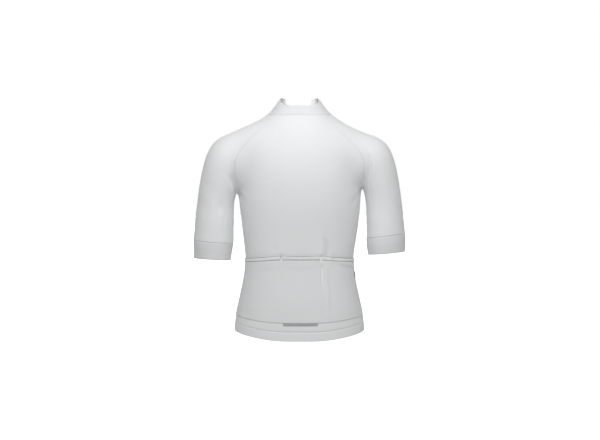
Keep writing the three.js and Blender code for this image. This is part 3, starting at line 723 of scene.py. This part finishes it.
# ---------------------------------------------------------------- the garment
def add_cloth(name, surface, nodes, thickness, material, lift=0.0):
    """One thin piece for one or more of a surface's CAD nodes."""
    labels = [surface.nodes.index(node) for node in nodes]
    mine = surface.quads[np.isin(surface.labels, labels)]
    mesh = shell(name, surface.points, surface.normals, mine, thickness, lift)
    piece = add_piece(name, mesh, MATERIALS[material], replaced=nodes)


def add_panels(surface):
    for node in surface.nodes:
        if node in BANDS:
            material = "hem" if node == "hem_band" else "band"
            add_cloth("cloth_" + node, surface, [node], BAND_CLOTH, material)
        else:
            add_cloth("cloth_" + node, surface, [node], CLOTH, "knit")


def free_edges(panel, of_elastic):
    """The corners along the edges of the pockets' cloth, or of their elastic, that no other piece meets."""
    found = set()
    for (label, other), edges in panel.seams().items():
        if other is None and (label >= len(POCKETS)) == of_elastic:
            found.update(v for edge in edges for v in edge)
    return sorted(found)


def tuck_mouths(back, panel):
    """Presses the back in along the pockets' mouths, where the elastic pulls against it."""
    mouth = tree_of(panel.points[free_edges(panel, True)] + np.array([0, 0, MOUTH_RISE]))
    away = np.array([mouth.find(p)[2] for p in back.points])
    back.move(-MOUTH_TUCK * np.exp(-(away / MOUTH_WIDTH) ** 2))


def make_pockets(back):
    """The pocket panel with the elastic along its three mouths: the CAD pockets, joined and flatter."""
    cloth = ["pocket_" + name for name in POCKETS]
    elastic = ["pocket_edge_" + name for name in POCKETS]
    panel = Surface(cloth + elastic, SHELL_LEVELS)
    mouth = tree_of(panel.points[free_edges(panel, True)])
    for p in panel.points:
        p[2] -= MOUTH_DROP * max(1 - mouth.find(p)[2] / MOUTH_REACH, 0) ** 2
    sewn = tree_of(panel.points[free_edges(panel, False)])
    moves = np.zeros(len(panel.points))
    for i, p in enumerate(panel.points):
        height = (p - back.nearest(p)[0]) @ panel.normals[i]
        t = min(sewn.find(p)[2] / POCKET_SEWN, 1)
        fullness = POCKET_FULLNESS * t * t * (3 - 2 * t)
        moves[i] = POCKET_LIFT + fullness * max(height - CAD_POCKET_LIFT, 0) - height
    panel.move(moves)
    crease(panel, POCKET_TROUGHS)
    return panel


def add_pockets(panel):
    cloth, elastic = panel.nodes[:len(POCKETS)], panel.nodes[len(POCKETS):]
    # the pockets' knit is darker than the back's as painted shade
    add_cloth("cloth_pockets", panel, cloth, CLOTH, "pocket")
    add_cloth("cloth_pocket_elastic", panel, elastic, ELASTIC_CLOTH, "elastic", ELASTIC_LIFT)


# ---------------------------------------------------------------- trims
TUBE_UP = np.array([0.31, 0.87, 0.38])  # a direction that no path here follows


def tube(name, path, radius, around=6):
    """A round closed tube along a path."""
    ahead = np.gradient(path, axis=0)
    ahead /= np.linalg.norm(ahead, axis=1)[:, None]
    one = np.cross(ahead, TUBE_UP)
    one /= np.linalg.norm(one, axis=1)[:, None]
    two = np.cross(ahead, one)
    turns = 2 * np.pi * np.arange(around) / around
    rings = [path + radius * (math.cos(a) * one + math.sin(a) * two) for a in turns]
    points = np.stack(rings, axis=1).reshape(-1, 3)
    faces = []
    for i in range(len(path) - 1):
        for k in range(around):
            a, b = i * around + k, i * around + (k + 1) % around
            faces.append((a, b, b + around, a + around))
    faces.append(tuple(range(around))[::-1])
    faces.append(tuple((len(path) - 1) * around + k for k in range(around)))
    return new_mesh(name, points, faces)


def add_bar_tacks(panel):
    """Dense short bars of thread that hold the elastic down where two pockets meet. Their dark grey is
    painted shadow of the dimple where the two mouths meet.
    """
    for k, side in enumerate(("left", "right")):
        name = "bar_tack_" + side
        elastic = k + len(POCKETS)
        line = panel.points[polylines(panel.seams()[(elastic, elastic + 1)])[0]]
        line = line[np.argsort(line[:, 2])]
        path = []
        for turn, t in enumerate(np.linspace(-TACK_OVERRUN, 1.0, TACK_PASSES)):
            p = line[0] * (1 - t) + line[-1] * t
            p[0] += TACK_WIDTH * (-0.5 if turn % 2 else 0.5)
            path.append(panel.nearest(p)[0] + panel.normal_at(p) * (ELASTIC_LIFT + TACK_LIFT))
        add_piece(name, tube(name, np.array(path), TACK_THREAD), MATERIALS["tack"])


def patch_piece(name, rows, thickness, material, node, lift=0.0):
    """A thin closed piece over a grid of (point, normal) pairs, in the place of a CAD node."""
    points = np.array([p for row in rows for p, _ in row])
    normals = np.array([n for row in rows for _, n in row])
    wide = len(rows[0])
    quads = np.array([(i * wide + j, i * wide + j + 1, (i + 1) * wide + j + 1, (i + 1) * wide + j)
                      for i in range(len(rows) - 1) for j in range(wide - 1)])
    a, b, c = points[quads[0][0]], points[quads[0][1]], points[quads[0][2]]
    if np.cross(b - a, c - a) @ normals[0] < 0:
        quads = quads[:, ::-1]
    mesh = shell(name, points, normals, quads, thickness, lift + thickness)
    add_piece(name, mesh, MATERIALS[material], replaced=[node])


def add_strip(surface):
    """The reflective strip under the centre pocket, following the curve of the hem."""
    points, _ = cad_mesh("reflective_strip")
    low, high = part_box("reflective_strip")
    columns = np.unique(np.round(points[:, 0], 3))
    edges = [(x, points[np.abs(points[:, 0] - x) < STRIP_COLUMN][:, 2]) for x in columns]
    foot = np.polyfit([x for x, _ in edges], [z.min() for _, z in edges], 2)
    head = np.polyfit([x for x, _ in edges], [z.max() for _, z in edges], 2)
    rows = []
    for t in np.linspace(0, 1, STRIP_GRID[0]):
        row = []
        for x in np.linspace(low[0], high[0], STRIP_GRID[1]):
            z = np.polyval(foot, x) * (1 - t) + np.polyval(head, x) * t
            place = surface.hit(x, z)
            row.append((place, surface.nearest(place)[1]))
        rows.append(row)
    slot = "reflective"
    patch_piece("reflective_bar", rows, STRIP_FILM, slot, "reflective_strip", STRIP_LIFT)


def add_tab(pocket):
    """The small folded tab caught in the right side seam."""
    low, high = (np.array(corner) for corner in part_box("side_tab"))
    low[1], high[1] = low[1] - TAB_TURN, high[1] - TAB_TURN / 2
    rows = []
    for t in np.linspace(0, 1, TAB_GRID[0]):
        row = []
        for s in np.linspace(0, 1, TAB_GRID[1]):
            across = low[:2] * (1 - s) + high[:2] * s
            place, normal = pocket.nearest((across[0], across[1], low[2] * (1 - t) + high[2] * t))
            outward = normal if normal[0] > 0 else -normal
            row.append((place + outward * (TAB_LIFT + TAB_CURL * (1 - s) ** 2), outward))
        rows.append(row)
    patch_piece("folded_tab", rows, TAB_CLOTH, "label", "side_tab")


def add_tape(side):
    node = "zip_tape_" + side
    add_cloth("woven_tape_" + side, Surface([node], TAPE_LEVELS), [node], TAPE_CLOTH, "tape")


def coil_path(side):
    """The middle of a side's coil: the centre of the CAD strip's cross-section at each height."""
    points, _ = cad_mesh("zip_coil_" + side)
    order = points[np.argsort(points[:, 2])]
    middles = []
    group = [order[0]]
    for p in order[1:]:
        if p[2] - group[0][2] > COIL_GROUP:
            middles.append(np.mean(group, axis=0))
            group = []
        group.append(p)
    middles.append(np.mean(group, axis=0))
    return curve_through(middles, 8)


def add_coil(side):
    """One side's coil: a flattened spiral of nylon wire, as one bent tube."""
    path = coil_path(side)
    before = lengths_along(path)
    count = int(before[-1] / COIL_PITCH) * COIL_SIDES + 1
    centre = places_on(path, before, np.linspace(0, before[-1], count))
    along = np.gradient(centre, axis=0)
    along /= np.linalg.norm(along, axis=1)[:, None]
    across = np.tile(np.array([1.0, 0, 0]), (count, 1))
    across -= along * (across * along).sum(1)[:, None]
    across /= np.linalg.norm(across, axis=1)[:, None]
    out = np.cross(across, along)
    turn = 2 * np.pi * np.arange(count) / COIL_SIDES + (np.pi if side == "left" else 0)
    wire = centre + across * (COIL_WIDE * np.cos(turn))[:, None] + out * (COIL_HIGH * np.sin(turn))[:, None]
    mesh = tube("nylon_coil_" + side, wire, COIL_WIRE, 5)
    add_piece("nylon_coil_" + side, mesh, MATERIALS["coil"], replaced=["zip_coil_" + side])


# The zip's hard pieces keep their CAD shapes. The last number is how far their edges are eased, in
# millimetres.
EASED_ANGLE = 40  # edges that turn by more degrees than this are eased
HARD_PIECES = [
    ("zip_slider", "cast_slider", "metal", "metal", BODY, 0.25),
    ("zip_pull", "cast_pull", "metal", "metal", "zip_pull", 0.35),
    ("zip_box", "moulded_box", "coil", "coil", BODY, 0.5),
]


def add_hard_piece(node, name, material, slot, body, width):
    rough = linked(name, new_mesh(name, *cad_mesh(node)))
    modifier = rough.modifiers.new("eased", "BEVEL")
    modifier.width = width * MM
    modifier.segments = 2
    modifier.limit_method = "ANGLE"
    modifier.angle_limit = math.radians(EASED_ANGLE)
    add_piece(name, modified(rough), MATERIALS[material], body, [node])


# ---------------------------------------------------------------- stitching
def stitches(name, lines, surface):
    """Small raised stitches along lines of points, laid on a surface."""
    points, faces = [], []
    for line in lines:
        before = lengths_along(line)
        for at in np.arange(STITCH_PITCH / 2, before[-1], STITCH_PITCH):
            a, b = places_on(line, before, [at - STITCH_HALF, at + STITCH_HALF])
            place, normal = surface.nearest((a + b) / 2)
            if normal @ surface.normal_at(place) < 0:
                normal = -normal
            along = b - a
            along -= normal * (along @ normal)
            along /= max(np.linalg.norm(along), 1e-9)
            side = np.cross(normal, along) * STITCH_WIDE
            n = len(points)
            points += [place - along * STITCH_HALF, place + along * STITCH_HALF]
            points += [place + side, place + normal * STITCH_HIGH, place - side, place - normal * STITCH_HIGH]
            for k in range(4):
                faces += [(n, n + 2 + (k + 1) % 4, n + 2 + k), (n + 1, n + 2 + k, n + 2 + (k + 1) % 4)]
    add_piece(name, new_mesh(name, points, faces), MATERIALS["thread"])


def beside(surface, line, away):
    """A line of surface points moved sideways along the surface."""
    points = surface.points[line]
    normals = surface.normals[line]
    along = np.gradient(points, axis=0)
    side = np.cross(normals, along)
    side /= np.maximum(np.linalg.norm(side, axis=1), 1e-12)[:, None]
    return points + side * away


# Rows of stitches beside a seam: the pieces it joins, and each row's distance from it towards the
# second one, in mm.
SEAM_STITCHES = [
    ("back_panel", "sleeve_", (-1.6, 1.6)),
    ("front_", "sleeve_", (-1.6, 1.6)),
    ("back_panel", "front_", (-1.4, 1.4)),
    ("", "collar", (-1.6,)),
    ("sleeve_", "cuff_", (-1.6, -3.4)),
    ("", "hem_band", (-1.6, -3.6)),
    ("pocket_edge_", "pocket_", (-1.6,)),
    ("pocket_", "pocket_", (0.0,)),
]


def add_stitching(surface, prefix):
    groups = {}
    for pair, edges in surface.seams().items():
        if pair[1] is None:
            continue
        row = seam_kind(surface, pair, SEAM_STITCHES)
        second = pair[1] if surface.nodes[pair[1]].startswith(row[1]) else pair[0]
        beyond = surface.points[np.unique(surface.quads[surface.labels == second])]
        name = "stitch_" + prefix + "_" + (row[0] + "_" + row[1]).strip("_").replace("__", "_")
        for line in polylines(edges):
            middle = len(line) // 2
            for away in row[2]:
                sides = [beside(surface, line, step * MM) for step in (away, -away)]
                gaps = [np.linalg.norm(beyond - side[middle], axis=1).min() for side in sides]
                turned = (gaps[0] - gaps[1]) * away > 0
                groups.setdefault(name, []).append(sides[1] if turned else sides[0])
    for name, lines in sorted(groups.items()):
        stitches(name, lines, surface)


def add_mouth_threads(panel):
    """Thread along both edges of each pocket's elastic, thickest in the middle. It is dark grey as painted
    shadow: of the gap at each mouth above the elastic, and of the seam below it.
    """
    seams = panel.seams()
    for k, side in enumerate(POCKETS):
        elastic = k + len(POCKETS)
        spans = [np.abs(panel.points[a] - panel.points[b]) for a, b in seams[(elastic, None)]]
        upper = [edge for edge, span in zip(seams[(elastic, None)], spans) if span[2] < span[0]]
        for place, edges, rise in (("upper", upper, UPPER_RISE), ("lower", seams[(k, elastic)], LOWER_RISE)):
            name = "mouth_thread_" + side + "_" + place
            line = max(polylines(edges), key=len)
            path = panel.points[line] + panel.normals[line] * ELASTIC_LIFT
            path[:, 2] += rise
            swell = THREAD_ENDS + (1 - THREAD_ENDS) * np.sin(np.pi * np.linspace(0.03, 0.97, len(line)))
            add_piece(name, tube(name, path, MOUTH_THREAD * swell[:, None]), MATERIALS["tack"])


# ---------------------------------------------------------------- making it
surface = Surface(PANELS, SHELL_LEVELS)
crease(surface, TROUGHS)
pockets = make_pockets(surface)
tuck_mouths(surface, pockets)
add_panels(surface)
add_pockets(pockets)
add_bar_tacks(pockets)
add_mouth_threads(pockets)
add_strip(surface)
add_tab(pockets)
for side in ("left", "right"):
    add_tape(side)
    add_coil(side)
for row in HARD_PIECES:
    add_hard_piece(*row)
add_stitching(surface, "body")
add_stitching(pockets, "pockets")

# ---------------------------------------------------------------- stage, light and camera
FRAME_WIDTH = 600
MM_PER_PIXEL = 2.76
DISTANCE = 4.0
ELEVATION = math.radians(5)
AIM = Vector((0.0014, 0, -0.2992))
SENSOR = 36.0

FLOOR = -1.3
FLOOR_SIDE = 9  # how far the floor reaches to each side
FLOOR_ENDS = (-9, -3, 0.9, 1.5, 12)  # the rows of the floor's points along Y
SHINE_START, SHINE_END = 0.9, 1.5  # where along Y the floor starts to shine, and where it shines fully
SHINE = 0.85
FLOOR_GLOW = 0.42  # how much lighter the camera sees the floor
WORLD_LIGHT = 0.4
# Each lamp's place, what it aims at, its size, its power in watts and its spread in degrees.
LIGHTS = {
    "low_key": ((0, -1.6, 0.5), (0, 0, -0.3), (0.8, 0.6), 7.4, 180),
    "high_key": ((0, -0.9, 0.9), (0, 0, -0.1), (0.8, 0.5), 8.3, 180),
    "neck": ((0, -0.03, 0.12), (0, 0.06, 0.03), (0.1, 0.03), 0.075, 80),
    "front_fill": ((0, 1.7, 0.6), (0, 0, -0.3), (0.9, 0.7), 7, 180),
}


def add_camera():
    data = bpy.data.cameras.new("camera")
    data.sensor_width = SENSOR
    data.lens = SENSOR * DISTANCE / (FRAME_WIDTH * MM_PER_PIXEL * MM)
    camera = linked("camera", data)
    back = Vector((0, -math.cos(ELEVATION), math.sin(ELEVATION)))
    camera.location = AIM + back * DISTANCE
    camera.rotation_euler = (-back).to_track_quat("-Z", "Y").to_euler()
    bpy.context.scene.camera = camera


def add_area_light(name, place, aim, size, power, spread):
    data = bpy.data.lights.new(name, "AREA")
    data.shape = "RECTANGLE"
    data.size, data.size_y = size
    data.energy = power
    data.spread = math.radians(spread)
    lamp = linked(name, data)
    lamp.visible_camera = False
    lamp.location = place
    lamp.rotation_euler = (Vector(aim) - Vector(place)).to_track_quat("-Z", "Y").to_euler()


def add_stage():
    """A pale floor, seen a little lighter than the light it gives. Far behind the jersey it shines, and
    reads as plain white."""
    n = Nodes("plain_white", 0.9)
    n.shader.inputs["Emission Color"].default_value = (1, 1, 1, 1)
    y = n.add("ShaderNodeSeparateXYZ", Vector=n.place).outputs["Y"]
    shine = n.add("ShaderNodeMapRange", Value=y, From_Min=SHINE_START, From_Max=SHINE_END, To_Max=SHINE)
    seen = n.add("ShaderNodeLightPath").outputs["Is Camera Ray"]
    glow = n.math("ADD", n.math("MULTIPLY", seen, FLOOR_GLOW), shine.outputs["Result"])
    n.feed(n.shader.inputs["Emission Strength"], glow)
    material = n.finish(n.ramp(n.noise(2, 1), (0.86, 0.86, 0.86), (0.88, 0.88, 0.88)))
    points = [(x, y, FLOOR) for y in FLOOR_ENDS for x in (-FLOOR_SIDE, FLOOR_SIDE)]
    faces = [(2 * k, 2 * k + 1, 2 * k + 3, 2 * k + 2) for k in range(len(FLOOR_ENDS) - 1)]
    mesh = new_mesh("pale_floor", points, faces)
    mesh.materials.append(material)
    linked("pale_floor", mesh)


def add_world():
    """An even studio light from all round, behind which the camera sees plain white."""
    world = bpy.data.worlds.new("studio")
    world.use_nodes = True
    nodes, links = world.node_tree.nodes, world.node_tree.links
    light = nodes["Background"]
    light.inputs["Color"].default_value = (1, 1, 1, 1)
    light.inputs["Strength"].default_value = WORLD_LIGHT
    white = nodes.new("ShaderNodeBackground")
    white.inputs["Color"].default_value = (1, 1, 1, 1)
    mixed = nodes.new("ShaderNodeMixShader")
    links.new(nodes.new("ShaderNodeLightPath").outputs["Is Camera Ray"], mixed.inputs[0])
    links.new(light.outputs[0], mixed.inputs[1])
    links.new(white.outputs[0], mixed.inputs[2])
    links.new(mixed.outputs[0], nodes["World Output"].inputs["Surface"])
    bpy.context.scene.world = world


add_camera()
add_stage()
add_world()
for name, light in LIGHTS.items():
    add_area_light(name, *light)
bpy.context.scene.view_settings.view_transform = "Standard"
